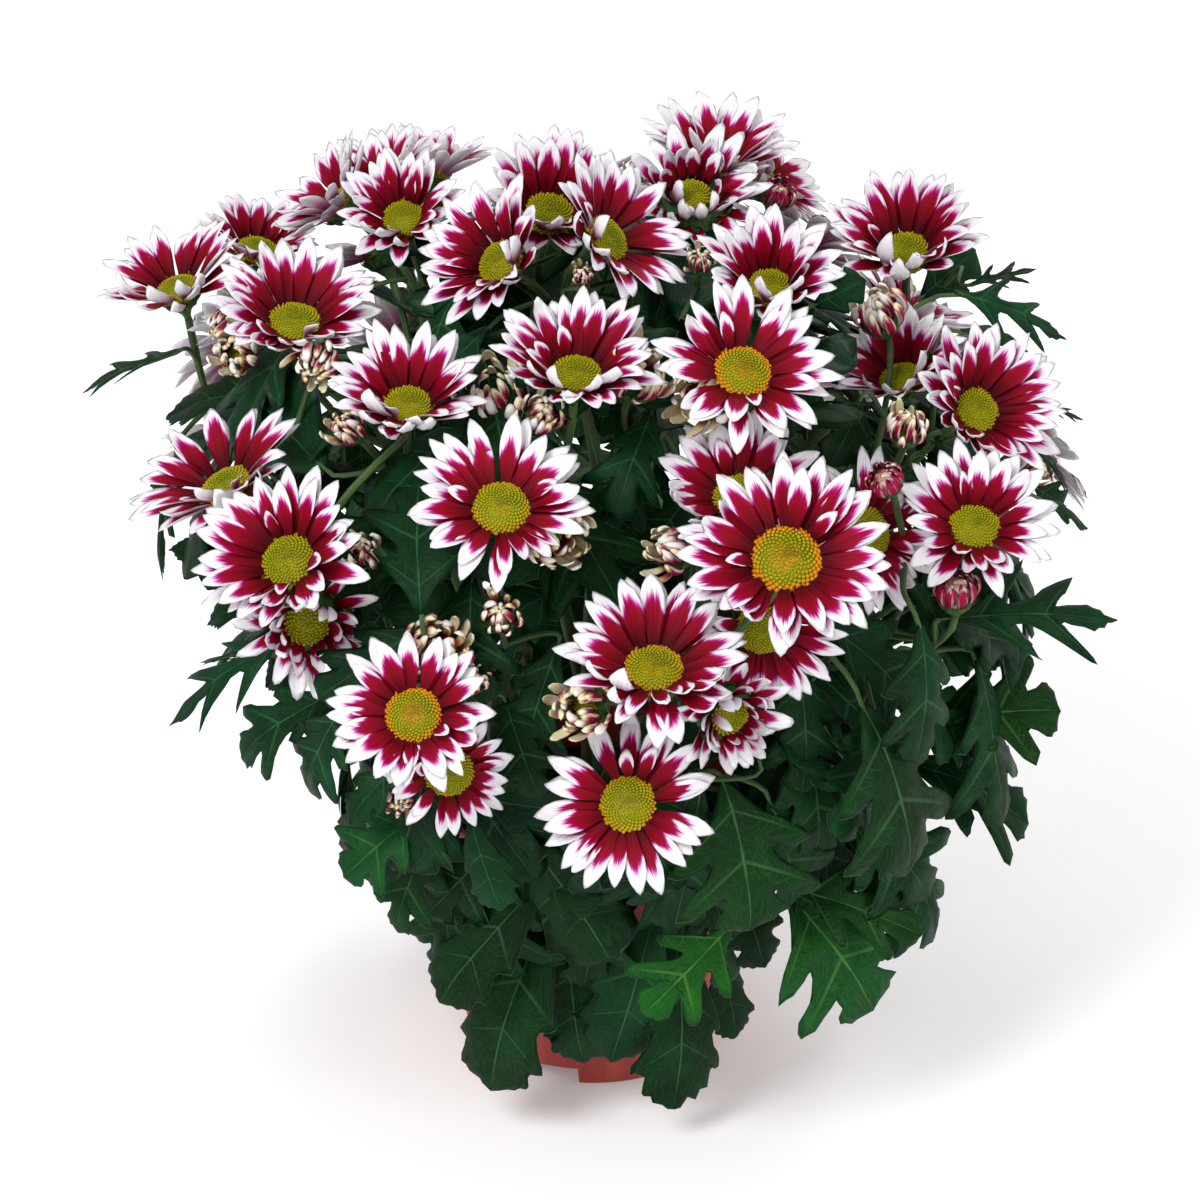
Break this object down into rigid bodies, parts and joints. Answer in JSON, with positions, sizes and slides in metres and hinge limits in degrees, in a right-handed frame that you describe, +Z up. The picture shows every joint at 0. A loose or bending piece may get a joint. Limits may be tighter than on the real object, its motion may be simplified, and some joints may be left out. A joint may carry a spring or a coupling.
{
  "type": "potted chrysanthemum",
  "caption": "Flowering daisy-type pot chrysanthemum: a leafy dome of rooted cuttings with open and half-open crimson and white heads, planted in soil in a round plastic nursery pot.",
  "frame": {"origin": "centre of the pot's underside, on the plane the pot stands on", "axes": "+Z up along the pot's axis, -Y towards the viewer's side of the picture, +X to the right as seen there"},
  "size_m": [0.38, 0.3819, 0.3705],
  "materials": {
    "pot_plastic": "matte",
    "soil": "rough, moist peat",
    "foliage": "satin leaf, matt below",
    "florets": "velvety, white tips, green-yellow disc",
    "half_open_florets": "satin cream with dark red bases"
  },
  "bodies": {
    "root": {"pot": "pot_plastic", "potting_soil": "soil", "cutting_back_left": "foliage", "cutting_back_right": "foliage", "cutting_centre": "foliage", "cutting_front_left": "foliage", "cutting_front_right": "foliage", "flower_01": "florets", "flower_02": "florets", "flower_03": "florets", "flower_04": "florets", "flower_05": "florets", "flower_06": "florets", "flower_07": "florets", "flower_08": "florets", "flower_09": "florets", "flower_10": "florets", "flower_11": "florets", "flower_12": "florets", "flower_13": "florets", "flower_14": "florets", "flower_15": "florets", "flower_16": "florets", "flower_17": "florets", "flower_18": "florets", "flower_19": "florets", "flower_20": "florets", "flower_21": "florets", "flower_22": "florets", "flower_23": "florets", "flower_24": "florets", "flower_25": "florets", "flower_26": "florets", "flower_27": "florets", "flower_28": "florets", "flower_29": "florets", "flower_30": "florets", "flower_31": "florets", "flower_32": "florets", "flower_33": "florets", "flower_34": "florets", "flower_35": "florets", "flower_36": "florets", "flower_37": "florets", "flower_38": "florets", "flower_39": "florets", "flower_40": "florets", "flower_41": "florets", "flower_42": "florets", "flower_43": "florets", "half_open_01": "half_open_florets", "half_open_02": "half_open_florets", "half_open_03": "half_open_florets", "half_open_04": "half_open_florets", "half_open_05": "half_open_florets", "half_open_06": "half_open_florets", "half_open_07": "half_open_florets", "half_open_08": "half_open_florets", "half_open_09": "half_open_florets", "half_open_10": "half_open_florets"}
  },
  "joints": []
}
